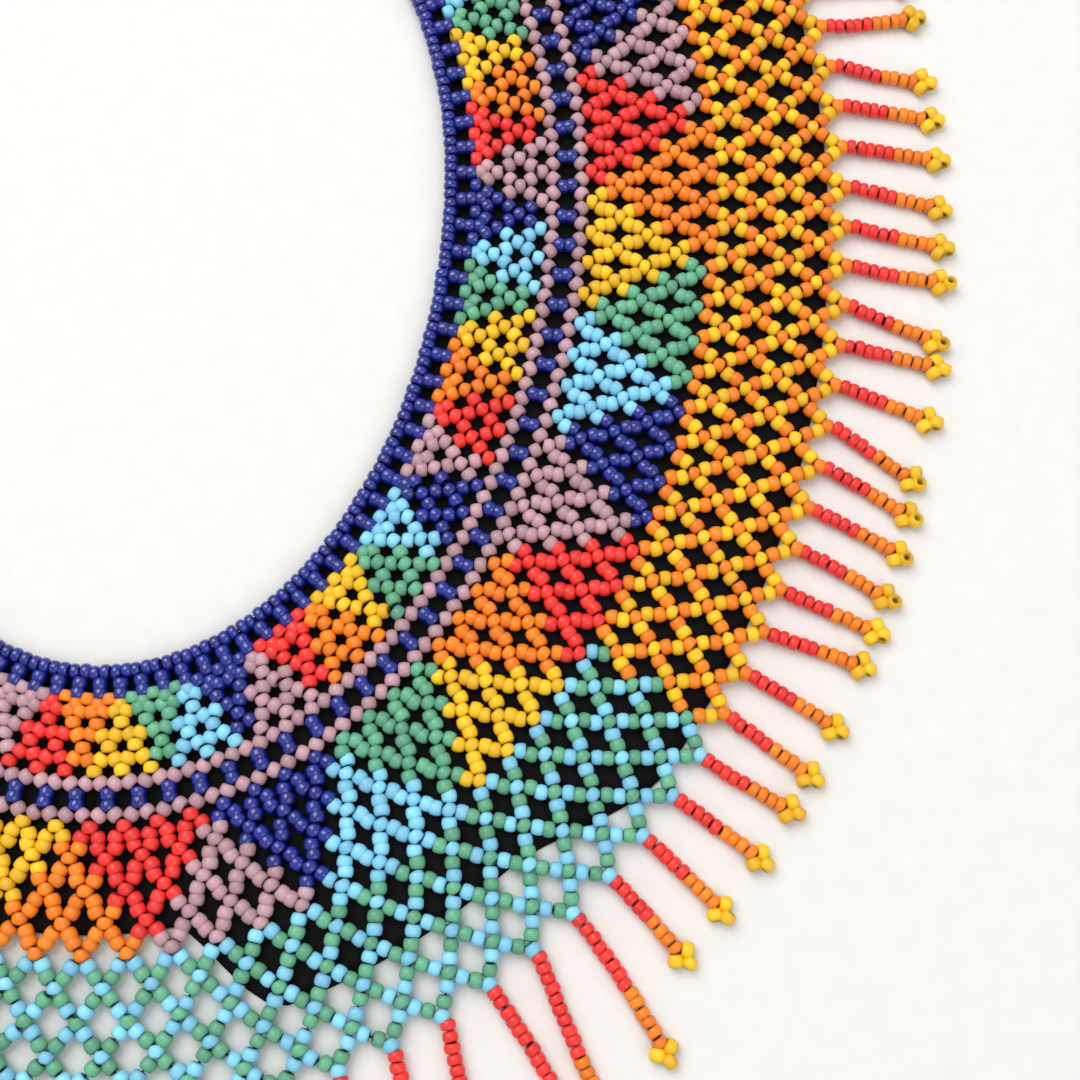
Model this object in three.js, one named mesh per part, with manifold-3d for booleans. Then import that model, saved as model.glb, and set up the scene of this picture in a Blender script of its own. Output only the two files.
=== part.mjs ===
// A netted seed-bead collar (pechera) that lies flat on a table, front towards -Y.
// The net is built round by round outwards from a neck strand: a band of small triangles,
// a ladder of three strands, a band of large triangles, an open lace and a fringe.
// Each round is split at four fold lines, and the fringe hangs in combs of a few strands.
import * as THREE from "three";
import { mergeVertices } from "three/addons/utils/BufferGeometryUtils.js";
import Module from "manifold-3d";

// ---- Driving dimensions, in millimetres ----
const BEAD_DIAMETER = 2.2; // the net is one bead thick
const BEAD_PITCH = 1.6; // along a thread, size 10/0 beads
const GAP = 0.3; // clearance between neighbouring pieces
const LINING_THICKNESS = 0.4; // thin black cloth under the net
const NET_BOTTOM = LINING_THICKNESS + GAP;

const NECK_HALF_WIDTH = 52; // the neck opening is an oval, deeper at the front
const NECK_FRONT_DEPTH = 82;
const NECK_BACK_DEPTH = 72;
const BACK_GAP = 27; // between the two back ends, along the ladder

// Offsets outwards from the neck edge, where one round ends and the next one starts
const NECK_STRAND_END = 2.3;
const INNER_BAND_END = 17.1;
const LADDER_END = 24.1;
const OUTER_BAND_END = 44.1;
const LACE_END = 62.9;
const LAST_ROUND_END = 68.5; // the joint beads that carry the fringe
const LAST_ROUND_VALLEY = 65; // between two of those joints
const COUNTING_LINE = 18.3; // columns are spaced along this offset

// The lining starts under the neck strand and stops short of the net's edge: a little at the sides,
// more at the front, and before the lace at the very middle of the front
const LINING_START = 1.1;
const LINING_SIDE_END = 64.5;
const LINING_FRONT_END = 56;
const LINING_MIDDLE_END = 40.5;
const LINING_MIDDLE_COLUMNS = [2, 4]; // the end moves outwards between these two
const LINING_SIDE_COLUMNS = [9, 13];

const COLUMNS = 100; // one ladder rung and one fringe strand each
const STATION_COLUMNS = 2; // a round bends once every two columns
const FRONT_COMB_COLUMNS = 4;
const SHOULDER_COMB_COLUMNS = 5;
const FRONT_FOLD = 18; // fold lines, in columns from the front centre
const BACK_FOLD = 38;
const BACK_END = COLUMNS / 2;

// The net is drawn together at the front and the back and stretched at the sides: columns between
// the front and the even one lie this far nearer to the front, and those behind it nearer to the back
const EVEN_COLUMN = 33;
const DRAW_TO_FRONT = 0.9; // columns, where it is greatest

const SHORT_STRAND_BEADS = 9; // round the sides and back
const MIDDLE_STRAND_BEADS = 14; // one strand on each side of the long ones
const LONG_STRAND_BEADS = 17; // across the front
const LONG_STRAND_COLUMNS = 9;
const PICOT_LENGTH = 2.6; // three beads in a clover at the tip
const PICOT_HALF_WIDTH = 1.9;

const TIP_LENGTH = 2.4; // crimped end tips at the two ends of the neck strand
const EYE_THICKNESS = 0.8;
const EYE_RADIUS = 1.1;
const EYE_HOLE_RADIUS = 0.65;
const RING_WIRE_RADIUS = 0.35;
const JUMP_RING_RADIUS = 1.9;
const CATCH_RING_RADIUS = 2.4;

const CLASP_THICKNESS = 1.8;
const CLASP_SLOT = 1.2; // the lever turns in a slot of this height
const LEVER_THICKNESS = 0.6;
const RIVET_RADIUS = 0.35;
const RIVET_HOLE_RADIUS = 0.65;

// ---- Materials ----
const material = (color, metalness = 0, roughness = 0.35) =>
  new THREE.MeshStandardMaterial({ color, metalness, roughness });
const LINING_BLACK = material(0x101012, 0, 0.95);
const NECK_BLUE = material(0x1a2f8f);
const INNER_GREEN = material(0x4f9a74);
const LADDER_MAUVE = material(0xb98791);
const OUTER_RED = material(0xe8352f);
const LACE_ORANGE = material(0xf78a1e);
const LACE_TURQUOISE = material(0x5fb3b8);
const FRINGE_RED = material(0xd9382b);
const SILVER = material(0xc9c9cd, 0.9, 0.3);

// ---- The neck oval and the columns ----
const ANGLE_STEPS = 7200;
const neckDepth = (angle) => (Math.sin(angle) < 0 ? NECK_FRONT_DEPTH : NECK_BACK_DEPTH);

// A point at this offset from the neck edge, with the outward normal and the tangent
function ovalFrame(angle, offset) {
  const depth = neckDepth(angle);
  const normal = new THREE.Vector2(
    Math.cos(angle) / NECK_HALF_WIDTH,
    Math.sin(angle) / depth,
  ).normalize();
  const point = new THREE.Vector2(
    NECK_HALF_WIDTH * Math.cos(angle),
    depth * Math.sin(angle),
  ).addScaledVector(normal, offset);
  return { point, normal, tangent: new THREE.Vector2(-normal.y, normal.x) };
}

// Arc length along the counting line, from the front centre anticlockwise to the back centre
const lengths = [0];
const angleOf = (step) => -Math.PI / 2 + (Math.PI * step) / ANGLE_STEPS;
for (let step = 1; step <= ANGLE_STEPS; step++) {
  const from = ovalFrame(angleOf(step - 1), COUNTING_LINE).point;
  const to = ovalFrame(angleOf(step), COUNTING_LINE).point;
  lengths.push(lengths[step - 1] + from.distanceTo(to));
}
const columnPitch = (lengths[ANGLE_STEPS] - BACK_GAP / 2) / (COLUMNS / 2);

// Where a column lies, in equal columns from the front centre; the stretch is smooth at the even column
function drawnColumn(column) {
  const behind = column > EVEN_COLUMN;
  const start = behind ? EVEN_COLUMN : 0;
  const span = behind ? BACK_END - EVEN_COLUMN : EVEN_COLUMN;
  const wave = Math.sin((Math.PI * (column - start)) / span);
  return column + (behind ? span / EVEN_COLUMN : -1) * DRAW_TO_FRONT * wave;
}

// The frame at a column position, 0 at the front centre and positive towards +X
function columnFrame(column, offset) {
  const length = drawnColumn(Math.abs(column)) * columnPitch;
  let low = 0;
  let high = ANGLE_STEPS;
  while (high - low > 1) {
    const middle = (low + high) >> 1;
    if (lengths[middle] < length) low = middle;
    else high = middle;
  }
  const share = (length - lengths[low]) / (lengths[high] - lengths[low]);
  const frame = ovalFrame(angleOf(low + share), offset);
  if (column >= 0) return frame;
  frame.point.x *= -1;
  frame.normal.x *= -1;
  frame.tangent.set(-frame.normal.y, frame.normal.x);
  return frame;
}

// A point moved along the tangent, which is the thread's direction
function columnPoint(column, offset, sideways = 0) {
  const { point, tangent } = columnFrame(column, offset);
  return point.addScaledVector(tangent, sideways);
}

// ---- Rounds of the net ----
const collar = new THREE.Group();

function addFlat(name, outline, thickness, bottom, surface) {
  const shape = new THREE.Shape(outline);
  const geometry = new THREE.ExtrudeGeometry(shape, { depth: thickness, bevelEnabled: false });
  const mesh = new THREE.Mesh(geometry, surface);
  mesh.name = name;
  mesh.position.z = bottom;
  collar.add(mesh);
}

// The columns where a stretch of a round bends, its two ends among them
function stationsBetween(from, to) {
  const stations = [from];
  const first = (Math.floor(from / STATION_COLUMNS) + 1) * STATION_COLUMNS;
  for (let column = first; column < to; column += STATION_COLUMNS) stations.push(column);
  return [...stations, to];
}

// An edge along a round, half a gap short of each end; offsetAt gives the offset at a column
function edgePoints(from, to, offsetAt) {
  const sideways = (column) =>
    column === from ? GAP / 2 : column === to ? -GAP / 2 : 0;
  return stationsBetween(from, to).map((column) =>
    columnPoint(column, offsetAt(column), sideways(column)),
  );
}

function bandOutline(from, to, innerAt, outerAt) {
  return [...edgePoints(from, to, outerAt), ...edgePoints(from, to, innerAt).reverse()];
}

const SHOULDER = { comb: SHOULDER_COMB_COLUMNS, lace: LACE_ORANGE };
const BACK = { comb: FRONT_COMB_COLUMNS, lace: LACE_ORANGE };
const FRONT = { comb: FRONT_COMB_COLUMNS, lace: LACE_TURQUOISE };
const PANELS = [
  { name: "back_left", from: -BACK_END, to: -BACK_FOLD, ...BACK },
  { name: "shoulder_left", from: -BACK_FOLD, to: -FRONT_FOLD, ...SHOULDER },
  { name: "front", from: -FRONT_FOLD, to: FRONT_FOLD, ...FRONT },
  { name: "shoulder_right", from: FRONT_FOLD, to: BACK_FOLD, ...SHOULDER },
  { name: "back_right", from: BACK_FOLD, to: BACK_END, ...BACK },
];

function liningEnd(column) {
  const { lerp, smoothstep } = THREE.MathUtils;
  const past = (columns) => smoothstep(Math.abs(column), ...columns);
  const front = lerp(LINING_MIDDLE_END, LINING_FRONT_END, past(LINING_MIDDLE_COLUMNS));
  return lerp(front, LINING_SIDE_END, past(LINING_SIDE_COLUMNS));
}

function addPanel({ name, from, to, lace }) {
  const rounds = [
    ["neck_strand", 0, NECK_STRAND_END, NECK_BLUE],
    ["inner_triangles", NECK_STRAND_END + GAP, INNER_BAND_END, INNER_GREEN],
    ["ladder", INNER_BAND_END + GAP, LADDER_END, LADDER_MAUVE],
    ["outer_triangles", LADDER_END + GAP, OUTER_BAND_END, OUTER_RED],
    ["lace", OUTER_BAND_END + GAP, LACE_END, lace],
  ];
  for (const [round, inner, outer, surface] of rounds) {
    const outline = bandOutline(from, to, () => inner, () => outer);
    addFlat(`${name}_${round}`, outline, BEAD_DIAMETER, NET_BOTTOM, surface);
  }
  const lining = bandOutline(from, to, () => LINING_START, liningEnd);
  addFlat(`${name}_lining`, lining, LINING_THICKNESS, 0, LINING_BLACK);
}

// ---- Fringe ----
function strandBeads(column) {
  const distance = Math.abs(column);
  if (distance < LONG_STRAND_COLUMNS) return LONG_STRAND_BEADS;
  return distance < LONG_STRAND_COLUMNS + 1 ? MIDDLE_STRAND_BEADS : SHORT_STRAND_BEADS;
}

// One strand with its clover tip, from its -tangent side round to its +tangent side
function strandOutline(column) {
  const halfWidth = BEAD_DIAMETER / 2;
  const root = LAST_ROUND_END - halfWidth;
  const neck = LAST_ROUND_END + strandBeads(column) * BEAD_PITCH;
  const side = [
    [root, halfWidth],
    [neck, halfWidth],
    [neck + PICOT_LENGTH * 0.25, PICOT_HALF_WIDTH],
    [neck + PICOT_LENGTH * 0.75, PICOT_HALF_WIDTH],
    [neck + PICOT_LENGTH, PICOT_HALF_WIDTH * 0.45],
  ];
  const left = side.map(([offset, width]) => columnPoint(column, offset, -width));
  const right = side.map(([offset, width]) => columnPoint(column, offset, width));
  return [...left, ...right.reverse()];
}

// The last zigzag round of a few columns, with the strands that hang from it
function addComb(name, from, to) {
  const outline = [columnPoint(from, LAST_ROUND_VALLEY, GAP / 2)];
  for (let column = from; column < to; column++) {
    if (column > from) outline.push(columnPoint(column, LAST_ROUND_VALLEY));
    outline.push(...strandOutline(column + 0.5));
  }
  outline.push(columnPoint(to, LAST_ROUND_VALLEY, -GAP / 2));
  outline.push(...edgePoints(from, to, () => LACE_END + GAP).reverse());
  addFlat(name, outline, BEAD_DIAMETER, NET_BOTTOM, FRINGE_RED);
}

function addPanelFringe({ name, from, to, comb }) {
  let number = 1;
  for (let column = from; column < to; column += comb)
    addComb(`${name}_fringe_${number++}`, column, column + comb);
}

// ---- Clasp at the back, lying open ----
const wasm = await Module();
wasm.setup();

function solid(geometry) {
  const bare = geometry.clone().deleteAttribute("normal").deleteAttribute("uv");
  const merged = mergeVertices(bare, 1e-4);
  return new wasm.Manifold(
    new wasm.Mesh({
      numProp: 3,
      vertProperties: merged.attributes.position.array,
      triVerts: new Uint32Array(merged.index.array),
    }),
  );
}

function addSolid(name, manifold, surface, group = collar) {
  const { vertProperties, triVerts } = manifold.getMesh();
  const geometry = new THREE.BufferGeometry()
    .setAttribute("position", new THREE.BufferAttribute(vertProperties, 3))
    .setIndex(new THREE.BufferAttribute(triVerts, 1));
  const mesh = new THREE.Mesh(geometry, surface);
  mesh.name = name;
  group.add(mesh);
}

const MID_HEIGHT = BEAD_DIAMETER / 2; // the thread's height within the net
const ROUND_SIDES = 12;

// A disc on edge with a hole through it: its hole runs along Y, and its stem points to +X
function eyeSolid(stemLength) {
  const shape = new THREE.Shape();
  shape.moveTo(stemLength, -EYE_RADIUS * 0.6);
  shape.lineTo(stemLength, EYE_RADIUS * 0.6);
  shape.absarc(0, 0, EYE_RADIUS, Math.PI * 0.2, Math.PI * 1.8, false);
  shape.holes.push(new THREE.Path().absarc(0, 0, EYE_HOLE_RADIUS, 0, Math.PI * 2, true));
  const geometry = new THREE.ExtrudeGeometry(shape, {
    depth: EYE_THICKNESS,
    bevelEnabled: false,
    curveSegments: ROUND_SIDES,
  });
  geometry.translate(0, 0, -EYE_THICKNESS / 2).rotateX(Math.PI / 2);
  return solid(geometry);
}

// The crimped cup that holds the thread's end: an eye at its centre line's inner end
function endTipSolid() {
  const cup = new THREE.CylinderGeometry(MID_HEIGHT * 0.95, MID_HEIGHT * 0.6, TIP_LENGTH, ROUND_SIDES);
  cup.rotateZ(-Math.PI / 2).translate(EYE_RADIUS * 0.8 + TIP_LENGTH / 2, 0, 0);
  return eyeSolid(EYE_RADIUS * 1.2).add(solid(cup));
}

function flatRing(radius) {
  return new THREE.TorusGeometry(radius, RING_WIRE_RADIUS, 8, 20);
}

// Where the neck strand ends, and where each eye's hole is
const strandEnd = columnPoint(BACK_END, MID_HEIGHT, -GAP / 2);
const strandDirection = columnFrame(BACK_END, MID_HEIGHT).tangent.clone().negate();
const strandAngle = Math.atan2(strandDirection.y, strandDirection.x);
const eyeDistance = GAP + TIP_LENGTH + EYE_RADIUS * 0.8;
const eyeCentre = strandEnd.clone().addScaledVector(strandDirection, -eyeDistance);

// Everything on one end of the neck strand; the eye's hole is at the group's origin
function strandEndGroup(side) {
  const group = new THREE.Group();
  group.position.set(side * eyeCentre.x, eyeCentre.y, NET_BOTTOM + MID_HEIGHT);
  group.rotation.z = side > 0 ? strandAngle : Math.PI - strandAngle;
  collar.add(group);
  return group;
}

function addCatchSide() {
  const group = strandEndGroup(-1);
  addSolid("end_tip_left", endTipSolid(), SILVER, group);
  const ring = flatRing(CATCH_RING_RADIUS);
  ring.translate(-CATCH_RING_RADIUS, 0, 0);
  addSolid("catch_ring", solid(ring), SILVER, group);
}

// The lobster clasp in its own frame: tail eye at the origin, hook towards -Y
const HOOK_CENTRE_Y = -7.2;
const HOOK_OUTER = 2.9;
const HOOK_INNER = 1.6;
const PIVOT = new THREE.Vector2(1.5, -4.2);
const JAW_ANGLE = -0.75; // the mouth of the hook, below the +X side
const MOUTH_END_ANGLE = 0.55;

function claspBodySolid() {
  const shape = new THREE.Shape();
  shape.moveTo(-0.8, -1.2);
  shape.lineTo(-1.9, -4.2);
  shape.absarc(0, HOOK_CENTRE_Y, HOOK_OUTER, Math.PI * 0.8, Math.PI * 2 + JAW_ANGLE, false);
  shape.absarc(0, HOOK_CENTRE_Y, HOOK_INNER, Math.PI * 2 + JAW_ANGLE, Math.PI * 0.62, true);
  shape.lineTo(-0.2, -5.1);
  shape.lineTo(PIVOT.x - 0.3, -5.1);
  shape.lineTo(PIVOT.x + 0.9, PIVOT.y - 0.7);
  shape.lineTo(PIVOT.x + 0.9, PIVOT.y + 0.8);
  shape.lineTo(0.8, -1.2);
  shape.holes.push(new THREE.Path().absarc(PIVOT.x, PIVOT.y, RIVET_HOLE_RADIUS, 0, Math.PI * 2, true));
  const plate = new THREE.ExtrudeGeometry(shape, {
    depth: CLASP_THICKNESS,
    bevelEnabled: false,
    curveSegments: 10,
  });
  plate.translate(0, 0, -CLASP_THICKNESS / 2);
  const slot = new THREE.BoxGeometry(5, 3, CLASP_SLOT);
  slot.translate(PIVOT.x + 0.9, PIVOT.y - 0.2, 0);
  const tail = eyeSolid(EYE_RADIUS * 1.4).rotate([0, 0, -90]);
  return solid(plate).subtract(solid(slot)).add(tail);
}

// The lever closes the hook's mouth, and its thumb tab stands out beside the pivot
function leverSolid() {
  const shape = new THREE.Shape();
  shape.moveTo(PIVOT.x - 0.95, PIVOT.y - 1.4);
  shape.lineTo(HOOK_INNER + 0.1, HOOK_CENTRE_Y - 1.0);
  shape.lineTo(HOOK_OUTER - 0.4, HOOK_CENTRE_Y - 0.9);
  shape.lineTo(HOOK_OUTER, HOOK_CENTRE_Y + 1.2);
  shape.lineTo(PIVOT.x + 1.3, PIVOT.y - 0.8);
  shape.lineTo(PIVOT.x + 2.2, PIVOT.y + 0.3);
  shape.lineTo(PIVOT.x + 1.2, PIVOT.y + 0.9);
  shape.lineTo(PIVOT.x - 0.95, PIVOT.y + 0.5);
  shape.holes.push(new THREE.Path().absarc(PIVOT.x, PIVOT.y, RIVET_HOLE_RADIUS, 0, Math.PI * 2, true));
  const plate = new THREE.ExtrudeGeometry(shape, {
    depth: LEVER_THICKNESS,
    bevelEnabled: false,
    curveSegments: 6,
  });
  return solid(plate.translate(0, 0, -LEVER_THICKNESS / 2));
}

function rivetSolid() {
  const rivet = new THREE.CylinderGeometry(RIVET_RADIUS, RIVET_RADIUS, CLASP_THICKNESS, ROUND_SIDES);
  return solid(rivet.rotateX(Math.PI / 2).translate(PIVOT.x, PIVOT.y, 0));
}

function addClaspSide() {
  const group = strandEndGroup(1);
  addSolid("end_tip_right", endTipSolid(), SILVER, group);
  const ring = flatRing(JUMP_RING_RADIUS);
  ring.translate(-JUMP_RING_RADIUS, 0, 0);
  addSolid("jump_ring", solid(ring), SILVER, group);
  const clasp = new THREE.Group();
  clasp.position.set(-JUMP_RING_RADIUS, -JUMP_RING_RADIUS, 0);
  group.add(clasp);
  addSolid("clasp_body", claspBodySolid(), SILVER, clasp);
  addSolid("clasp_lever", leverSolid(), SILVER, clasp);
  addSolid("clasp_rivet", rivetSolid(), SILVER, clasp);
}

PANELS.forEach(addPanel);
PANELS.forEach(addPanelFringe);
addCatchSide();
addClaspSide();

// The origin is on the table below the centre of the whole collar
const box = new THREE.Box3().setFromObject(collar);
collar.position.y = -(box.min.y + box.max.y) / 2;
const group = new THREE.Group().add(collar);

export default group;
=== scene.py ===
"""A netted seed-bead collar that lies flat: beads, beading thread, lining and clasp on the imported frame.

The net is counted in columns along the neck, from 0 at the front centre to 50 at each back end, and in
offsets outwards from the neck edge. Sizes in this script are millimetres until a mesh is made.
"""

import math
import zlib

import bpy
import numpy as np
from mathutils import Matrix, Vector


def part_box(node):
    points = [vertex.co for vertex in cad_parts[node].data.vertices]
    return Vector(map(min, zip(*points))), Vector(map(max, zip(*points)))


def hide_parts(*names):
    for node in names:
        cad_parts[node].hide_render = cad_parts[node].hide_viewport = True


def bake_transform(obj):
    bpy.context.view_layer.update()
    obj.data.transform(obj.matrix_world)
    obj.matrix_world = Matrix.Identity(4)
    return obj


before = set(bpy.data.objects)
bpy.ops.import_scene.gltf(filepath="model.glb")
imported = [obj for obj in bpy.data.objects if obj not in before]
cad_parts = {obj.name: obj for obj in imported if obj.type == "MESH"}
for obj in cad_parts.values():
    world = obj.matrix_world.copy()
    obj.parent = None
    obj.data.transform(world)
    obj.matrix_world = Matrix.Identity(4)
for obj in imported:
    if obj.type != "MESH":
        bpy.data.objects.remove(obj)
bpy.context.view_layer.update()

MM = 0.001
SEED = 7

# ---- The net's driving sizes, as in the frame ----
BEAD_DIAMETER = 2.2  # of the frame's beads, which sets the height of the net
BEAD_PITCH = 1.6  # along a strand of beads that touch
TOUCHING_LENGTH = BEAD_PITCH * 0.98
BEAD_WIDTH = 2.48  # of the beads made here, which fill the net as real ones do
BEAD_LENGTH = 1.95
HOLE_RADIUS = 0.3
THREAD_RADIUS = 0.2
NECK_HALF_WIDTH = 52
NECK_FRONT_DEPTH = 82
NECK_BACK_DEPTH = 72
NECK_STRAND_END = 2.3
COUNTING_LINE = 18.3  # offset at which the columns are counted
BACK_GAP = 27

# Columns
BACK_END = 50
EVEN_COLUMN = 33  # lies where it would in a net of equal columns
DRAW_TO_FRONT = 0.9
FRONT_FOLD = 18
BACK_FOLD = 38
SEGMENT_JOIN = 28
FRONT_LACE_COLUMNS = 14.5

# Heights, from the nodes of the frame
LINING_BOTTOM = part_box("front_lining")[0].z / MM
LINING_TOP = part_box("front_lining")[1].z / MM
NET_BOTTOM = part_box("front_lace")[0].z / MM
NET_HEIGHT = NET_BOTTOM + BEAD_DIAMETER / 2
TABLE_HEIGHT = BEAD_WIDTH / 2 + 0.05  # of the fringe, which lies on the table

# How far the frame was moved along Y to centre it
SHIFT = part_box("front_neck_strand")[0].y / MM + NECK_FRONT_DEPTH + NECK_STRAND_END

# Offsets of the rounds of beads
NECK_STRAND = 1.1
SPOKE_OFFSETS = (2.95, 4.5)
NECK_JOINT = 6.2
INNER_JOINTS = (5.3, 9.0, 12.7, 16.4)
LADDER_LINES = (18.2, 23.0)
RUNG_OFFSETS = (19.85, 21.4)
OUTER_JOINTS = (24.7, 29.4, 34.1, 38.8, 43.4)
LACE_JOINTS = (48.2, 53.0, 57.7, 62.5)
FRINGE_JOINT = 67.2
STRAND_START = FRINGE_JOINT + BEAD_PITCH

# Offsets where the lining starts and ends, and the columns between which its end moves outwards
LINING_START = 1.1
LINING_SIDE_END = 64.5
LINING_FRONT_END = 56
LINING_MIDDLE_END = 40.5
LINING_MIDDLE_COLUMNS = (2, 4)
LINING_SIDE_COLUMNS = (9, 13)

# ---- Colours of glass, as sRGB ----
DARK_BLUE = "dark_blue"
MAUVE = "mauve"
RED = "red"
ORANGE = "orange"
YELLOW = "yellow"
GREEN = "green"
LIGHT_BLUE = "light_blue"
GLASS = {
    DARK_BLUE: (20, 36, 132),
    MAUVE: (188, 148, 156),
    RED: (246, 54, 48),
    ORANGE: (255, 130, 26),
    YELLOW: (252, 190, 30),
    GREEN: (98, 168, 132),
    LIGHT_BLUE: (132, 206, 240),
}
CLEAR_GLASS = (DARK_BLUE,)  # the other colours are opaque
COLOURS = list(GLASS)

INNER_CYCLE = (YELLOW, ORANGE, RED, MAUVE, DARK_BLUE, LIGHT_BLUE, GREEN)
OUTER_CYCLE = (DARK_BLUE, MAUVE, RED, ORANGE, YELLOW, GREEN, LIGHT_BLUE)


# ---- The neck oval and the columns ----
def oval(angle, offset):
    """A point at this offset from the neck edge, and the outward normal."""
    depth = np.where(np.sin(angle) < 0, NECK_FRONT_DEPTH, NECK_BACK_DEPTH)
    normal = np.stack([np.cos(angle) / NECK_HALF_WIDTH, np.sin(angle) / depth], axis=-1)
    normal /= np.linalg.norm(normal, axis=-1, keepdims=True)
    edge = np.stack([NECK_HALF_WIDTH * np.cos(angle), depth * np.sin(angle)], axis=-1)
    return edge + normal * offset, normal


ANGLES = np.linspace(-math.pi / 2, math.pi / 2, 7201)  # from the front centre round to the back


def running_length(points):
    steps = np.linalg.norm(np.diff(points, axis=0), axis=1)
    return np.concatenate([[0], np.cumsum(steps)])


LENGTHS = running_length(oval(ANGLES, COUNTING_LINE)[0])
COLUMN_PITCH = (LENGTHS[-1] - BACK_GAP / 2) / BACK_END


def drawn_column(column):
    """Where a column lies, in equal columns: the net is drawn to the front and to the back end."""
    behind = column > EVEN_COLUMN
    start, span = (EVEN_COLUMN, BACK_END - EVEN_COLUMN) if behind else (0, EVEN_COLUMN)
    most = DRAW_TO_FRONT * span / EVEN_COLUMN if behind else -DRAW_TO_FRONT
    return column + most * math.sin(math.pi * (column - start) / span)


def net(column, offset):
    """The point at a column and an offset, the outward normal, and the tangent to the next column."""
    angle = np.interp(drawn_column(abs(column)) * COLUMN_PITCH, LENGTHS, ANGLES)
    point, normal = oval(angle, offset)
    if column < 0:
        point[0] *= -1
        normal[0] *= -1
    point[1] += SHIFT
    return point, normal, np.array([-normal[1], normal[0]])


FINE_STEPS = 20  # to a column


def columns_along(offset, start, end, pitch):
    """Columns at equal steps of about this pitch along an offset."""
    fine = np.linspace(start, end, int(abs(end - start) * FINE_STEPS) + 1)
    length = running_length(np.array([net(c, offset)[0] for c in fine]))
    count = max(2, round(length[-1] / pitch))
    return np.interp((np.arange(count) + 0.5) * length[-1] / count, length, fine)


END_MARGIN = 0.15  # columns, so that the last joints stay inside the back ends


def held(column):
    """A column brought inside the back ends."""
    return max(END_MARGIN - BACK_END, min(BACK_END - END_MARGIN, column))


# ---- Mesh making ----
def piece_rng(name):
    return np.random.default_rng([SEED, zlib.crc32(name.encode())])


def mesh_piece(name, points, quads, materials, slots=None, attributes=None):
    """A piece from points in millimetres and quads."""
    mesh = bpy.data.meshes.new(name)
    mesh.vertices.add(len(points))
    mesh.vertices.foreach_set("co", (np.asarray(points) * MM).ravel())
    mesh.loops.add(quads.size)
    mesh.loops.foreach_set("vertex_index", quads.ravel().astype(np.int32))
    mesh.polygons.add(len(quads))
    mesh.polygons.foreach_set("loop_start", np.arange(0, quads.size, 4, dtype=np.int32))
    mesh.polygons.foreach_set("use_smooth", np.ones(len(quads), bool))
    for material in materials:
        mesh.materials.append(material)
    if slots is not None:
        mesh.polygons.foreach_set("material_index", slots.astype(np.int32))
    for key, values in (attributes or {}).items():
        attribute = mesh.attributes.new(key, "FLOAT", "POINT")
        attribute.data.foreach_set("value", values.astype(np.float32))
    mesh.update(calc_edges=True)
    mesh.validate()
    piece = bpy.data.objects.new(name, mesh)
    bpy.context.scene.collection.objects.link(piece)
    return piece


def ring_quads(rows, sides):
    """Quads of a closed tube of rows that joins its last row to its first."""
    row, side = np.meshgrid(np.arange(rows), np.arange(sides), indexing="ij")
    next_row, next_side = (row + 1) % rows, (side + 1) % sides
    here, following = row * sides, next_row * sides
    corners = [here + side, following + side, following + next_side, here + next_side]
    return np.stack(corners, axis=-1).reshape(-1, 4)


BEAD_SIDES = 12
BEAD_PROFILE = np.radians([0, 30, 60, 90, 130, 180, 230, 270, 300, 330])  # from the belly through the hole
BEAD_SQUARENESS = 0.96  # 1 is round in section, and less is squarer


def rounded(value):
    return np.sign(value) * np.abs(value) ** BEAD_SQUARENESS


def bead_template():
    """One bead with its hole along X, of unit length and real radius. The painted-shade rim runs from 0
    outside to 1 inside, for the shade painted between beads and in the hole.
    """
    middle = (BEAD_WIDTH / 2 + HOLE_RADIUS) / 2
    wall = (BEAD_WIDTH / 2 - HOLE_RADIUS) / 2
    radius = middle + wall * rounded(np.cos(BEAD_PROFILE))
    along = 0.5 * rounded(np.sin(BEAD_PROFILE))
    turn = np.arange(BEAD_SIDES) * 2 * math.pi / BEAD_SIDES
    points = np.stack(
        [
            np.repeat(along[:, None], BEAD_SIDES, axis=1),
            radius[:, None] * np.cos(turn),
            radius[:, None] * np.sin(turn),
        ],
        axis=-1,
    )
    # painted shade: 0 at the belly, rising to 1 in the hole and at the ends, where the glass is darkened as
    # shade between beads
    painted_shade_rim = np.repeat((1 - np.cos(BEAD_PROFILE)) / 2, BEAD_SIDES)
    return points.reshape(-1, 3), ring_quads(len(BEAD_PROFILE), BEAD_SIDES), painted_shade_rim


BEAD_POINTS, BEAD_QUADS, BEAD_PAINTED_SHADE_RIM = bead_template()

PLACE_SCATTER = 0.06  # millimetres
HEIGHT_SCATTER = 0.07
SIZE_SCATTER = 0.025
SIZE_LIMITS = (0.93, 1.05)
TURN_SCATTER = math.radians(5)


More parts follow.
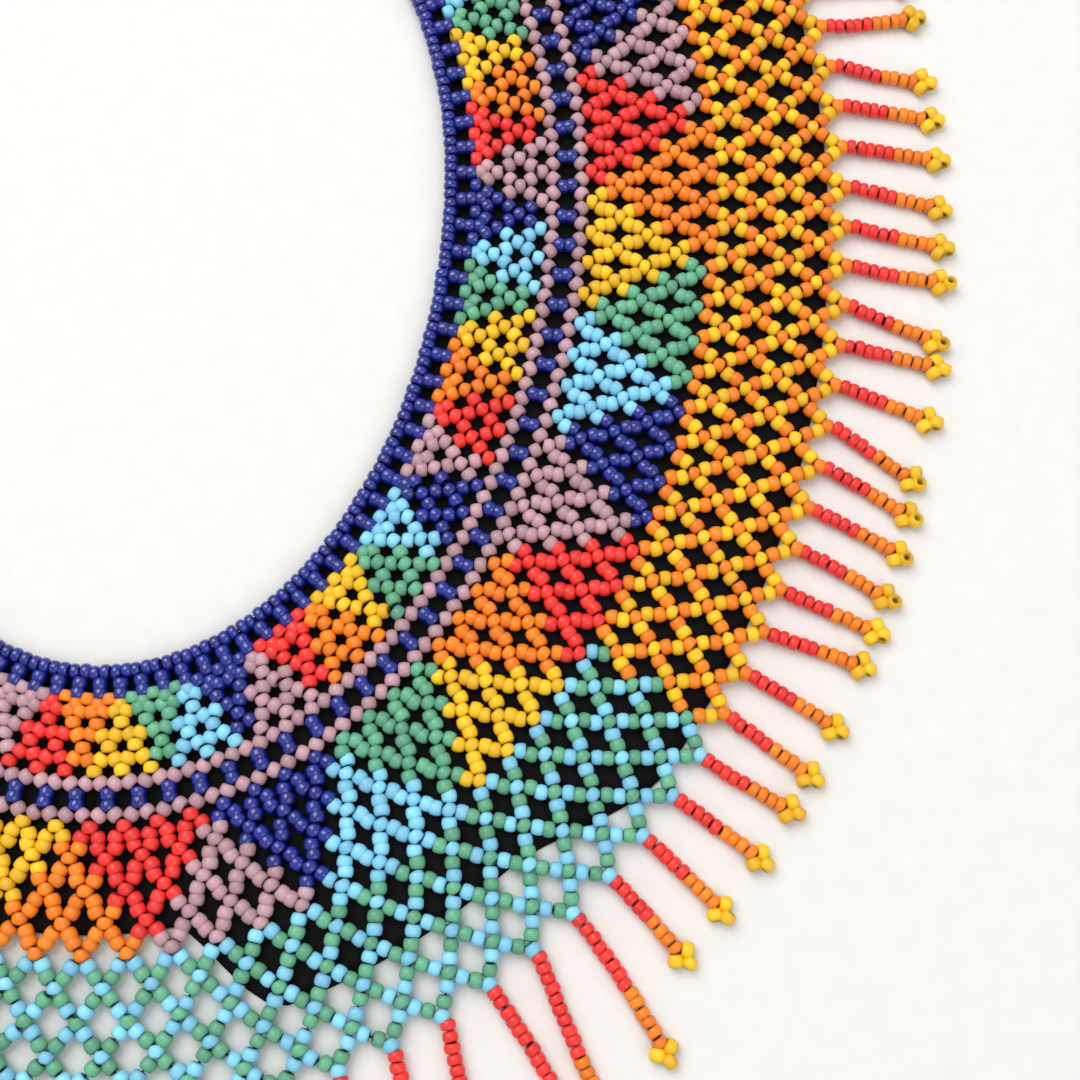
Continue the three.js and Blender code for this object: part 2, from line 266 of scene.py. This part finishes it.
class Beads:
    """Beads that become one piece: each has a centre, the direction of its hole and a colour."""

    def __init__(self):
        self.rows = []

    def add(self, centre, direction, colour, height=NET_HEIGHT, lift=0.0, length=BEAD_LENGTH):
        """lift tilts the hole out of the table's plane, in radians."""
        turn = math.atan2(direction[1], direction[0])
        self.rows.append((centre[0], centre[1], height, turn, lift, length, COLOURS.index(colour)))

    def strand(self, path, colours):
        """Beads at the inner points of a thread's path, each along the thread."""
        for number, colour in enumerate(colours, 1):
            self.add(path[number], path[number + 1] - path[number - 1], colour)

    def build(self, name):
        rng = piece_rng(name)
        rows = np.array(self.rows)
        count = len(rows)
        centres = rows[:, :3] + rng.normal(0, [PLACE_SCATTER, PLACE_SCATTER, HEIGHT_SCATTER], (count, 3))
        turn = rows[:, 3] + rng.normal(0, TURN_SCATTER, count)
        lift = rows[:, 4] + rng.normal(0, TURN_SCATTER, count)
        spin = rng.uniform(0, 2 * math.pi, count)
        size = rng.normal(1, SIZE_SCATTER, (count, 2)).clip(*SIZE_LIMITS)
        stretch = np.stack([rows[:, 5] * size[:, 0], size[:, 1], size[:, 1]], axis=-1)
        points = BEAD_POINTS[None] * stretch[:, None]
        points = spun(points, spin, 1, 2)
        points = spun(points, lift, 0, 2)
        points = spun(points, turn, 0, 1)
        points += centres[:, None]
        quads = BEAD_QUADS[None] + (np.arange(count) * len(BEAD_POINTS))[:, None, None]
        used = np.unique(rows[:, 6]).astype(int)
        slots = np.searchsorted(used, rows[:, 6])
        return mesh_piece(
            name,
            points.reshape(-1, 3),
            quads.reshape(-1, 4),
            [glass_material(COLOURS[i]) for i in used],
            np.repeat(slots, len(BEAD_QUADS)),
            {
                "tone": np.repeat(rng.uniform(0, 1, count), len(BEAD_POINTS)),
                # each point's share of the painted shade between beads
                "painted_shade_rim": np.tile(BEAD_PAINTED_SHADE_RIM, count),
            },
        )


def spun(points, angles, first, second):
    """Points of each bead turned in the plane of two axes."""
    cosine, sine = np.cos(angles)[:, None], np.sin(angles)[:, None]
    turned = points.copy()
    turned[..., first] = points[..., first] * cosine - points[..., second] * sine
    turned[..., second] = points[..., first] * sine + points[..., second] * cosine
    return turned


THREAD_SIDES = 6


def thread_quads():
    """The faces of one length: its two end rings, one after the other, joined and closed."""
    sides = range(THREAD_SIDES)
    ends = [((i + 1) % THREAD_SIDES, i + THREAD_SIDES) for i in sides]
    wall = [(i, following, following + THREAD_SIDES, above) for i, (following, above) in zip(sides, ends)]
    caps = [(3, 2, 1, 0), (5, 4, 3, 0), (6, 7, 8, 9), (6, 9, 10, 11)]
    return np.array(wall + caps)


THREAD_QUADS = thread_quads()


class Threads:
    """Straight lengths of thread that become one piece."""

    def __init__(self):
        self.spans = []

    def add(self, start, end, start_height=NET_HEIGHT, end_height=NET_HEIGHT):
        self.spans.append(((*start, start_height), (*end, end_height)))

    def line(self, points, heights=None):
        heights = [NET_HEIGHT] * len(points) if heights is None else heights
        for i in range(len(points) - 1):
            self.add(points[i], points[i + 1], heights[i], heights[i + 1])

    def build(self, name):
        spans = np.array(self.spans)
        along = spans[:, 1] - spans[:, 0]
        along /= np.linalg.norm(along, axis=1, keepdims=True)
        side = np.cross(along, (0, 0, 1.0))
        side /= np.linalg.norm(side, axis=1, keepdims=True)
        up = np.cross(side, along)
        turn = np.arange(THREAD_SIDES) * 2 * math.pi / THREAD_SIDES
        ring = side[:, None] * np.cos(turn)[:, None] + up[:, None] * np.sin(turn)[:, None]
        points = spans[:, :, None] + THREAD_RADIUS * ring[:, None]
        quads = THREAD_QUADS[None] + (np.arange(len(spans)) * 2 * THREAD_SIDES)[:, None, None]
        return mesh_piece(name, points.reshape(-1, 3), quads.reshape(-1, 4), [thread_material()])


# ---- Materials ----
def linear(colour):
    """Linear RGBA of an sRGB colour in 0 to 255."""
    shares = [c / 255 for c in colour]
    return (*[s / 12.92 if s <= 0.04045 else ((s + 0.055) / 1.055) ** 2.4 for s in shares], 1)


MIX_SHARE, MIX_LOW, MIX_HIGH, MIX_RESULT = 0, 6, 7, 2  # a Mix node's sockets for colours


class Nodes:
    """A material's node tree, with its Principled node."""

    def __init__(self, name):
        self.material = bpy.data.materials.new(name)
        self.material.use_nodes = True
        self.tree = self.material.node_tree
        self.shader = self.tree.nodes["Principled BSDF"]

    def add(self, kind, inputs=None, **settings):
        node = self.tree.nodes.new(kind)
        for key, value in settings.items():
            setattr(node, key, value)
        for key, value in (inputs or {}).items():
            self.plug(node.inputs[key], value)
        return node

    def plug(self, socket, value):
        """Links a socket to another one, or sets it."""
        if isinstance(value, bpy.types.NodeSocket):
            self.tree.links.new(value, socket)
        else:
            socket.default_value = value

    def shade(self, **values):
        """Sets inputs of the Principled node, named with _ for a space."""
        for key, value in values.items():
            self.plug(self.shader.inputs[key.replace("_", " ")], value)

    def mix(self, share, low, high):
        """A colour between two others."""
        inputs = {MIX_SHARE: share, MIX_LOW: low, MIX_HIGH: high}
        return self.add("ShaderNodeMix", inputs, data_type="RGBA").outputs[MIX_RESULT]

    def place(self):
        return self.add("ShaderNodeTexCoord").outputs["Object"]

    def noise(self, scale, detail=2.0):
        """scale is about the number of spots to a metre."""
        inputs = {"Vector": self.place(), "Scale": scale, "Detail": detail}
        return self.add("ShaderNodeTexNoise", inputs).outputs["Fac"]

    def stripes(self, place, scale, direction):
        inputs = {"Vector": place, "Scale": scale}
        return self.add("ShaderNodeTexWave", inputs, bands_direction=direction).outputs["Fac"]

    def spread(self, value, low, high):
        """A 0 to 1 value brought between two others."""
        return self.add("ShaderNodeMapRange", {"Value": value, "To Min": low, "To Max": high}).outputs[0]

    def bump(self, height, strength, distance):
        inputs = {"Height": height, "Strength": strength, "Distance": distance}
        return self.add("ShaderNodeBump", inputs).outputs["Normal"]


FINE_RELIEF = 0.0001  # metres
WEAVE_SCALE = 420
made_materials = {}


def once(make):
    """Each material is made once and shared by the pieces that use it."""

    def shared(*values):
        key = (make.__name__, *values)
        if key not in made_materials:
            made_materials[key] = make(*values)
        return made_materials[key]

    return shared


def scaled(colour, factor):
    """A colour made darker or lighter."""
    return tuple(min(255, c * factor) for c in colour)


@once
def glass_material(colour):
    """Glass in one colour. Each bead has its own tone, and painted shade darkens it in the hole and at the
    ends, where touching beads meet.
    """
    nodes = Nodes("glass_" + colour)
    base = GLASS[colour]
    clear = colour in CLEAR_GLASS
    tone = nodes.add("ShaderNodeAttribute", attribute_name="tone").outputs["Fac"]
    painted_shade_rim = nodes.add("ShaderNodeAttribute", attribute_name="painted_shade_rim").outputs["Fac"]
    body = nodes.mix(tone, linear(scaled(base, 0.86)), linear(scaled(base, 1.1)))
    cloud = nodes.mix(nodes.noise(900), linear(scaled(base, 0.9)), linear(scaled(base, 1.06)))
    body = nodes.mix(0.35, body, cloud)
    # painted shade: the glass darkens towards the hole and the ends, standing in for shade between touching
    # beads
    painted_shade_share = nodes.spread(painted_shade_rim, 0.0, 0.75)
    body = nodes.mix(painted_shade_share, body, linear(scaled(base, 0.45)))
    nodes.shade(Base_Color=body)
    rough = (0.12, 0.24) if clear else (0.26, 0.42)
    nodes.shade(Roughness=nodes.spread(nodes.noise(1500), *rough))
    nodes.shade(Coat_Weight=0.5 if clear else 0.1, Coat_Roughness=0.08 if clear else 0.25)
    nodes.shade(Specular_IOR_Level=0.5 if clear else 0.35)
    nodes.shade(Normal=nodes.bump(nodes.noise(1200, 1.0), 0.15, 0.0002))
    return nodes.material


@once
def thread_material():
    """Waxed black beading thread, twisted."""
    nodes = Nodes("beading_thread")
    colour = nodes.mix(nodes.noise(3000), linear((16, 14, 17)), linear((44, 38, 42)))
    nodes.shade(Base_Color=colour, Roughness=nodes.spread(nodes.noise(2500), 0.45, 0.7))
    twist = nodes.stripes(nodes.place(), 1400, "DIAGONAL")
    nodes.shade(Normal=nodes.bump(twist, 0.4, FINE_RELIEF))
    return nodes.material


@once
def lining_material():
    """Black plain-woven cotton."""
    nodes = Nodes("lining_cotton")
    place = nodes.place()
    warp = nodes.stripes(place, WEAVE_SCALE, "X")
    weft = nodes.stripes(place, WEAVE_SCALE, "Y")
    weave = nodes.add("ShaderNodeMath", {0: warp, 1: weft}, operation="MULTIPLY").outputs[0]
    colour = nodes.mix(weave, linear((6, 5, 6)), linear((17, 15, 16)))
    colour = nodes.mix(nodes.noise(60), colour, linear((10, 9, 10)))
    nodes.shade(Base_Color=colour, Roughness=nodes.spread(nodes.noise(800), 0.8, 0.95))
    nodes.shade(Specular_IOR_Level=0.2, Normal=nodes.bump(weave, 0.5, FINE_RELIEF))
    return nodes.material


@once
def metal_material():
    """Worn silver-coloured findings."""
    nodes = Nodes("clasp_metal")
    tarnish = nodes.noise(350, 4.0)
    colour = nodes.mix(tarnish, linear((176, 174, 170)), linear((214, 213, 211)))
    nodes.shade(Base_Color=colour, Metallic=1.0, Roughness=nodes.spread(tarnish, 0.18, 0.4))
    nodes.shade(Normal=nodes.bump(nodes.noise(2600), 0.12, FINE_RELIEF))
    return nodes.material


@once
def table_material():
    """Pale paper."""
    nodes = Nodes("pale_paper")
    grain = nodes.noise(260, 6.0)
    nodes.shade(Base_Color=nodes.mix(grain, linear((219, 218, 214)), linear((229, 228, 225))))
    nodes.shade(Roughness=0.9, Normal=nodes.bump(grain, 0.25, 0.0003))
    return nodes.material


# ---- Camera, light and table ----
VIEW_TILT = math.radians(13.8)
VIEW_DISTANCE = 237.3
VIEW_TARGET = (68, -62 + SHIFT, NET_HEIGHT)  # right of and before the middle of the neck opening
LENS = 50
SENSOR = 36
WORLD_STRENGTH = 0.62
SOFTBOX_SIZE = 0.8
SOFTBOXES = (  # places in metres, and watts
    ("key_softbox", (-0.3, 0.4, 0.9), 8.2),
    ("fill_softbox", (0.6, -0.5, 0.9), 3.2),
)
TABLE_HALF = 1500


def add_camera():
    data = bpy.data.cameras.new("camera")
    data.lens = LENS
    data.sensor_width = SENSOR
    data.clip_start = 0.01
    camera = bpy.data.objects.new("camera", data)
    back = Vector((0, -math.sin(VIEW_TILT), math.cos(VIEW_TILT))) * VIEW_DISTANCE
    camera.location = (Vector(VIEW_TARGET) + back) * MM
    camera.rotation_euler = (VIEW_TILT, 0, 0)
    bpy.context.scene.collection.objects.link(camera)
    bpy.context.scene.camera = camera


def add_softbox(name, place, power):
    """A square light that points at the middle of the collar."""
    data = bpy.data.lights.new(name, "AREA")
    data.size = SOFTBOX_SIZE
    data.energy = power
    light = bpy.data.objects.new(name, data)
    light.location = place
    light.rotation_euler = Vector(place).to_track_quat("Z", "Y").to_euler()
    bpy.context.scene.collection.objects.link(light)


def add_surroundings():
    world = bpy.data.worlds.new("studio")
    world.use_nodes = True
    background = world.node_tree.nodes["Background"]
    background.inputs["Color"].default_value = (1, 1, 1, 1)
    background.inputs["Strength"].default_value = WORLD_STRENGTH
    bpy.context.scene.world = world
    bpy.context.scene.view_settings.view_transform = "Standard"
    for softbox in SOFTBOXES:
        add_softbox(*softbox)
    corners = np.array([(-1, -1, 0), (1, -1, 0), (1, 1, 0), (-1, 1, 0)]) * TABLE_HALF
    table = mesh_piece("table", corners, np.array([[0, 1, 2, 3]]), [table_material()])


# ---- Joints of the net ----
STRADDLE = 1.28  # from a joint to each of the two beads that sit side by side before it, along the net
RISE = 1.6  # the same outwards


def joint(column, offset):
    """(centre, direction) of a joint bead, whose hole runs outwards."""
    point, normal, _ = net(held(column), offset)
    return point, normal


def strut_path(start, end, count):
    """The thread between two joints, each (column, offset), through the places of one or two beads."""
    here, out, along = net(held(start[0]), start[1])
    there, next_out, next_along = net(held(end[0]), end[1])
    if count == 1:
        return [here, (here + there) / 2, there]
    side = STRADDLE if end[0] > start[0] else -STRADDLE
    first = here + out * RISE + along * side
    last = there - next_out * RISE - next_along * side
    return [here, first, last, there]


# The column of the first triangle's middle, which has the first colour, and the columns from one to the next
INNER_FIRST, INNER_STEP = 32.5, 1.5
OUTER_FIRST, OUTER_STEP = 33.5, 2.0


def inner_colour(column, offset):
    """Small triangles, three joints wide at the neck, point outwards, and their neighbours point inwards."""
    half_width = 1.35 - 1.25 * (offset - INNER_JOINTS[0]) / (INNER_JOINTS[-1] - INNER_JOINTS[0])
    return triangle_colour(column, half_width, INNER_FIRST, INNER_STEP, INNER_CYCLE)


def outer_colour(column, offset):
    """Large triangles, four joints wide at the ladder, point outwards, and their neighbours point inwards."""
    half_width = 1.85 - 1.7 * (offset - OUTER_JOINTS[0]) / (OUTER_JOINTS[-1] - OUTER_JOINTS[0])
    return triangle_colour(column, half_width, OUTER_FIRST, OUTER_STEP, OUTER_CYCLE)


def triangle_colour(column, half_width, first_centre, step, cycle):
    """Every second triangle has its base on the inner side; half_width is theirs at this offset."""
    number = round((first_centre - column) / (2 * step)) * 2
    centre = first_centre - step * number
    if abs(column - centre) >= half_width:
        number += 1 if column < centre else -1
    return cycle[number % len(cycle)]


def in_front_lace(column):
    return abs(column) < FRONT_LACE_COLUMNS


def lace_colours(column):
    """The colours of one lace round and of the next one."""
    return (LIGHT_BLUE, GREEN) if in_front_lace(column) else (ORANGE, YELLOW)


def places(start, end, half):
    """Columns of the joints from start up to end, at whole columns or halfway between them."""
    first = start + 0.5 if half else start
    last = end + 1 if end == BACK_END and not half else end
    return np.arange(first, last, 1.0)


def add_netting(beads, threads, start, end, offsets, first_half, strut_beads, colour_at):
    """Rounds of joints, each half a column along from the last, with beads strung between them."""
    shares = [number / (strut_beads + 1) for number in range(1, strut_beads + 1)]
    for level, offset in enumerate(offsets):
        half = first_half ^ (level % 2 == 1)
        for column in places(start, end, half):
            beads.add(*joint(column, offset), colour_at(column, offset))
            if level == len(offsets) - 1:
                continue
            for side in (-0.5, 0.5):
                rise = offsets[level + 1] - offset
                colours = [colour_at(column + side * share, offset + rise * share) for share in shares]
                add_strut(beads, threads, (column, offset), (column + side, offset + rise), colours)


def add_strut(beads, threads, start, end, colours):
    """The beads and thread from the joint at start to the next one at end, both (column, offset)."""
    if abs(end[0]) > BACK_END:
        return
    path = strut_path(start, end, len(colours))
    beads.strand(path, colours)
    threads.line(path)


# ---- The rounds of one segment ----
def neck_strand(start, end, threads):
    beads = Beads()
    columns = columns_along(NECK_STRAND, start, end, BEAD_PITCH)
    for column in columns:
        point, _, tangent = net(column, NECK_STRAND)
        beads.add(point, tangent, DARK_BLUE, length=TOUCHING_LENGTH)
    threads.line([net(column, NECK_STRAND)[0] for column in (start, *columns, end)])
    return beads


def inner_band(start, end, threads):
    """Spokes from the neck strand, which fork to the first round of the small triangles."""
    beads = Beads()
    for column in places(start, end, False):
        for offset in SPOKE_OFFSETS:
            beads.add(*joint(column, offset), DARK_BLUE)
        here = joint(column, NECK_JOINT)
        beads.add(*here, inner_colour(column, NECK_JOINT))
        threads.add(joint(column, NECK_STRAND)[0], here[0])
        for side in (-0.5, 0.5):
            if abs(column + side) < BACK_END:
                threads.add(here[0], net(column + side, INNER_JOINTS[0])[0])
    add_netting(beads, threads, start, end, INNER_JOINTS, True, 1, inner_colour)
    return beads


LINE_TURN = math.radians(50)  # the beads of the two lines lie along the threads that fork from a rung


def ladder(start, end, threads):
    """Rungs of two beads, and a forked thread with a bead on each arm at both ends of a rung."""
    beads = Beads()
    forks = list(zip(LADDER_LINES, RUNG_OFFSETS, (INNER_JOINTS[-1], OUTER_JOINTS[0]), (-1, 1)))
    for column in places(start, end, True):
        for offset in RUNG_OFFSETS:
            beads.add(*joint(column, offset), DARK_BLUE)
        for line, rung, foot, way in forks:
            for side in (-1, 1):
                point, normal, tangent = net(column + side / 4, line)
                skew = LINE_TURN * side * way
                beads.add(point, tangent * math.cos(skew) + normal * math.sin(skew), MAUVE)
                threads.line([net(column, rung)[0], point, joint(column + side / 2, foot)[0]])
        threads.add(*[net(column, rung)[0] for rung in RUNG_OFFSETS])
    return beads


def outer_band(start, end, threads):
    beads = Beads()
    add_netting(beads, threads, start, end, OUTER_JOINTS, False, 2, outer_colour)
    return beads


def lace_zone(start, end, threads, front):
    """The lace rounds of one colour zone, with the struts that join it to the triangles."""
    beads = Beads()
    for column in places(start, end, False):
        if in_front_lace(column) == front:
            add_lace_struts(beads, threads, column, OUTER_JOINTS[-1], LACE_JOINTS[0], first=1)
    for level, offset in enumerate(LACE_JOINTS):
        for column in places(start, end, level % 2 == 0):
            if in_front_lace(column) != front:
                continue
            beads.add(*joint(column, offset), lace_colours(column)[level % 2])
            if level + 1 < len(LACE_JOINTS):
                next_offset = LACE_JOINTS[level + 1]
                add_lace_struts(beads, threads, column, offset, next_offset, first=level % 2)
    return beads


def add_lace_struts(beads, threads, column, offset, next_offset, first):
    """Two struts outwards from a joint. Its own colour is number first of the two, and colours alternate."""
    own, other = lace_colours(column)[first], lace_colours(column)[1 - first]
    for side in (-0.5, 0.5):
        add_strut(beads, threads, (column, offset), (column + side, next_offset), (other, own))


# ---- Segments: each crosses one fold line ----
SEGMENTS = (  # name, first and last column, fold line, and the bodies before and after it
    ("left_back", -BACK_END, -SEGMENT_JOIN, -BACK_FOLD, "back_left", "shoulder_left"),
    ("left_front", -SEGMENT_JOIN, 0, -FRONT_FOLD, "shoulder_left", "front"),
    ("right_front", 0, SEGMENT_JOIN, FRONT_FOLD, "front", "shoulder_right"),
    ("right_back", SEGMENT_JOIN, BACK_END, BACK_FOLD, "shoulder_right", "back_right"),
)


def across_fold(piece, fold, first, second):
    """Bakes a piece's placement into its mesh; the piece is not bent across the fold line."""
    point, _, tangent = net(fold, 0)
    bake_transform(piece)


def smooth(value, start, end):
    """0 before start and 1 after end, with a smooth rise between them."""
    share = min(1, max(0, (value - start) / (end - start)))
    return share * share * (3 - 2 * share)


def lining_end(column):
    """The offset of the lining's outer edge."""
    past_middle = smooth(abs(column), *LINING_MIDDLE_COLUMNS)
    front = LINING_MIDDLE_END + (LINING_FRONT_END - LINING_MIDDLE_END) * past_middle
    return front + (LINING_SIDE_END - front) * smooth(abs(column), *LINING_SIDE_COLUMNS)


CLOTH_COLUMN_STEPS = 3
CLOTH_STEPS = 24  # from the inner edge to the outer one
CLOTH_CLEARANCE = 0.05  # inside the frame's lining, above and below
WAVE_HEIGHT = 0.03
WAVE_TURNS = (0.9, 0.7)  # radians to a millimetre, along X and Y


def cloth_outline(start, end):
    """The flat points of one stretch of the lining, as rows from its inner to its outer edge."""
    rows = []
    for column in np.linspace(start, end, int(end - start) * CLOTH_COLUMN_STEPS + 1):
        width = lining_end(column) - LINING_START
        shares = np.linspace(0, 1, CLOTH_STEPS + 1)
        rows.append([net(held(column), LINING_START + width * share)[0] for share in shares])
    return np.array(rows)


def sheet_quads(rows, across):
    """The faces of a closed sheet: a grid of points below, the same above, and a wall round the edge."""
    index = np.arange(rows * across).reshape(rows, across)
    corners = [index[:-1, :-1], index[:-1, 1:], index[1:, 1:], index[1:, :-1]]
    squares = np.stack(corners, axis=-1).reshape(-1, 4)
    edge = np.concatenate([index[0, :-1], index[:-1, -1], index[-1, :0:-1], index[:0:-1, 0]])
    following = np.roll(edge, -1)
    above = rows * across
    wall = np.stack([edge, edge + above, following + above, following], axis=-1)
    return np.concatenate([squares, squares[:, ::-1] + above, wall])


def add_lining(segment, start, end):
    """One stretch of the cloth under the net, with soft waves, and its flat size and area in metres."""
    flat = cloth_outline(start, end)
    wave = WAVE_HEIGHT * np.sin(flat[..., 0] * WAVE_TURNS[0]) * np.sin(flat[..., 1] * WAVE_TURNS[1])
    heights = (LINING_BOTTOM + CLOTH_CLEARANCE, LINING_TOP - CLOTH_CLEARANCE)
    points = np.concatenate([np.dstack([flat, height + wave]).reshape(-1, 3) for height in heights])
    sheet = mesh_piece(f"{segment}_lining", points, sheet_quads(*flat.shape[:2]), [lining_material()])
    corner = flat[:-1, :-1]
    step = np.cross(flat[1:, :-1] - corner, flat[:-1, 1:] - corner)
    return sheet, np.ptp(flat.reshape(-1, 2), axis=0) * MM, abs(step).sum() * MM * MM


def finish_piece(piece, fold, bodies, rounds):
    """Bakes a net piece's placement, and hides the frame's nodes of the rounds that it stands in for."""
    across_fold(piece, fold, *bodies)
    if rounds:
        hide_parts(*[f"{body}_{name}" for body in bodies for name in rounds])


ROUNDS = (  # name, maker, slot, and the node that it stands for
    ("neck_beads", neck_strand, "neck_beads", "neck_strand"),
    ("inner_beads", inner_band, "inner_band_beads", "inner_triangles"),
    ("ladder_beads", ladder, "ladder_beads", "ladder"),
    ("outer_beads", outer_band, "outer_band_beads", "outer_triangles"),
)


def add_segment(segment, start, end, fold, *bodies):
    """The net, threads and lining between two columns."""
    threads = Threads()
    for name, make, slot, node in ROUNDS:
        piece = make(start, end, threads).build(f"{segment}_{name}")
        finish_piece(piece, fold, bodies, [node])
    for zone, front in (("front", True), ("side", False)):
        beads = lace_zone(start, end, threads, front)
        if beads.rows:
            piece = beads.build(f"{segment}_{zone}_lace_beads")
            finish_piece(piece, fold, bodies, ["lace"])
    finish_piece(threads.build(f"{segment}_thread"), fold, bodies, [])
    sheet, flat, area = add_lining(segment, start, end)
    finish_piece(sheet, fold, bodies, ["lining"])


# ---- Fringe ----
SHORT_STRAND = (5, 4)  # red beads, then orange ones
MIDDLE_STRAND = (8, 6)
LONG_STRAND = (10, 7)
LONG_COLUMNS = 9  # to each side of the front centre


def strand_counts(column):
    distance = abs(column)
    if distance < LONG_COLUMNS:
        return LONG_STRAND
    return MIDDLE_STRAND if distance < LONG_COLUMNS + 1 else SHORT_STRAND


def strand_length(column):
    return sum(strand_counts(column)) * BEAD_PITCH + BEAD_DIAMETER


TIP_SPACE = 4.4  # between the clovers of neighbouring strands
# Degrees of lean and of curl towards the front, at these distances in columns from its centre
LEAN_PLACES, LEANS = (0, 5, 9, 12, 16, 19, 50), (0, 14, 12, -4, 0, 13, 13)
CURL_PLACES, CURLS = (0, 4, 9, 10, 50), (0, 12, 10, 2, 3)
LEAN_SCATTER = 5.5
LEAN_LIMIT = 10
CURL_SCATTER = 7
PARTING_ROUNDS = 4


def fringe_leans():
    """Each strand's lean and curl in radians, positive towards higher columns. Clovers don't overlap."""
    rng = piece_rng("fringe")
    columns = np.arange(0.5 - BACK_END, BACK_END)
    distance = abs(columns)
    to_front = -np.sign(columns)
    lean = to_front * np.interp(distance, LEAN_PLACES, LEANS)
    lean += rng.normal(0, LEAN_SCATTER, len(columns)).clip(-LEAN_LIMIT, LEAN_LIMIT)
    curl = to_front * np.interp(distance, CURL_PLACES, CURLS)
    curl += rng.normal(0, CURL_SCATTER, len(columns))
    lean, curl = np.radians(lean), np.radians(curl)
    for _ in range(PARTING_ROUNDS):
        part_neighbours(columns, lean, curl)
    return {column: (lean[i], curl[i]) for i, column in enumerate(columns)}


def part_neighbours(columns, lean, curl):
    """Turns two strands apart where their tips are too near each other."""
    tips = [strand_tip(c, lean[i], curl[i]) for i, c in enumerate(columns)]
    for i in range(len(columns) - 1):
        lack = TIP_SPACE - np.linalg.norm(tips[i + 1] - tips[i])
        if lack > 0:
            turn = lack / 2 / min(strand_length(columns[i]), strand_length(columns[i + 1]))
            lean[i] -= turn
            lean[i + 1] += turn


def strand_path(column, lean, curl):
    """Centres and directions of a strand's beads."""
    point, normal, tangent = net(column, STRAND_START)
    count = sum(strand_counts(column))
    path = []
    for number in range(count):
        heading = lean + curl * (number / count - 0.5)
        direction = normal * math.cos(heading) + tangent * math.sin(heading)
        path.append((point.copy(), direction))
        point += direction * BEAD_PITCH
    return path


def strand_tip(column, lean, curl):
    point, direction = strand_path(column, lean, curl)[-1]
    return point + direction * BEAD_DIAMETER


SAG_BEADS = 5  # along which a strand comes down to the table

# A clover: two beads side by side after the strand's last bead, and an end bead
CLOVER_AHEAD = 1.4
CLOVER_ASIDE = 1.15
CLOVER_SPLAY = 0.7
CLOVER_END = 2.95
CLOVER_TILT_SCATTER = 0.15
STANDING_CHANCE = 0.18  # of an end bead that stands up and shows its hole
STANDING_TILT = 1.2
STANDING_RISE = 0.15


def add_strand(beads, threads, rng, column, lean, curl):
    """Red beads, orange beads and a clover of three yellow ones."""
    reds = strand_counts(column)[0]
    path = strand_path(column, lean, curl)
    heights = []
    for number, (point, direction) in enumerate(path):
        heights.append(NET_HEIGHT + (TABLE_HEIGHT - NET_HEIGHT) * smooth(number + 1, 0, SAG_BEADS))
        colour = RED if number < reds else ORANGE
        beads.add(point, direction, colour, heights[-1], length=TOUCHING_LENGTH)
    point, direction = path[-1]
    side = np.array([-direction[1], direction[0]])
    for way in (-1, 1):
        centre = point + direction * CLOVER_AHEAD + side * way * CLOVER_ASIDE
        heading = direction + side * way * CLOVER_SPLAY
        beads.add(centre, heading, YELLOW, TABLE_HEIGHT, lift=rng.normal(0, CLOVER_TILT_SCATTER))
        threads.add(point, centre, TABLE_HEIGHT, TABLE_HEIGHT)
    standing = rng.random() < STANDING_CHANCE
    lift = STANDING_TILT if standing else rng.normal(0, CLOVER_TILT_SCATTER)
    height = TABLE_HEIGHT + (STANDING_RISE if standing else 0)
    beads.add(point + direction * CLOVER_END, side, YELLOW, height, lift=lift)
    root = net(column, FRINGE_JOINT)[0]
    threads.line([root, *[place for place, _ in path]], [NET_HEIGHT, *heights])


COMB_BEND = (62.2, 65.8)  # offsets of two points at a comb's middle column; the comb is not bent between them


def add_comb(node, start, end, leans):
    """The last zigzag round of a few columns and its strands."""
    beads, threads = Beads(), Threads()
    rng = piece_rng(node + "_tips")
    for column in np.arange(start + 0.5, end):
        colours = lace_colours(column)
        beads.add(*joint(column, FRINGE_JOINT), colours[0])
        for side in (-0.5, 0.5):
            start_of_strut = (column + side, LACE_JOINTS[-1])
            add_strut(beads, threads, start_of_strut, (column, FRINGE_JOINT), colours)
        add_strand(beads, threads, rng, column, *leans[column])
    middle = (start + end) / 2
    bend = [(*net(middle, offset)[0] * MM, 0) for offset in COMB_BEND]
    bead_piece = beads.build(f"{node}_beads")
    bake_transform(bead_piece)
    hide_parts(node)
    thread_piece = threads.build(f"{node}_thread")
    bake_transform(thread_piece)


PANELS = (  # body, first and last column, and columns to a comb
    ("back_left", -BACK_END, -BACK_FOLD, 4),
    ("shoulder_left", -BACK_FOLD, -FRONT_FOLD, 5),
    ("front", -FRONT_FOLD, FRONT_FOLD, 4),
    ("shoulder_right", FRONT_FOLD, BACK_FOLD, 5),
    ("back_right", BACK_FOLD, BACK_END, 4),
)


def add_fringe():
    leans = fringe_leans()
    for panel, start, end, width in PANELS:
        for number, first in enumerate(range(start, end, width), 1):
            add_comb(f"{panel}_fringe_{number}", first, first + width, leans)


# ---- Clasp ----
WORN_EDGE = 0.12
CLASP_NODES = (
    "end_tip_left",
    "end_tip_right",
    "catch_ring",
    "jump_ring",
    "clasp_body",
    "clasp_lever",
    "clasp_rivet",
)


def finish_clasp():
    """Metal for the findings, with worn edges."""
    for name in CLASP_NODES:
        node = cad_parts[name]
        node.data.materials.clear()
        node.data.materials.append(metal_material())
        for polygon in node.data.polygons:
            polygon.material_index = 0
        bevel = node.modifiers.new("worn_edges", "BEVEL")
        bevel.width = WORN_EDGE * MM
        bevel.segments = 3


add_camera()
add_surroundings()
for row in SEGMENTS:
    add_segment(*row)
add_fringe()
finish_clasp()
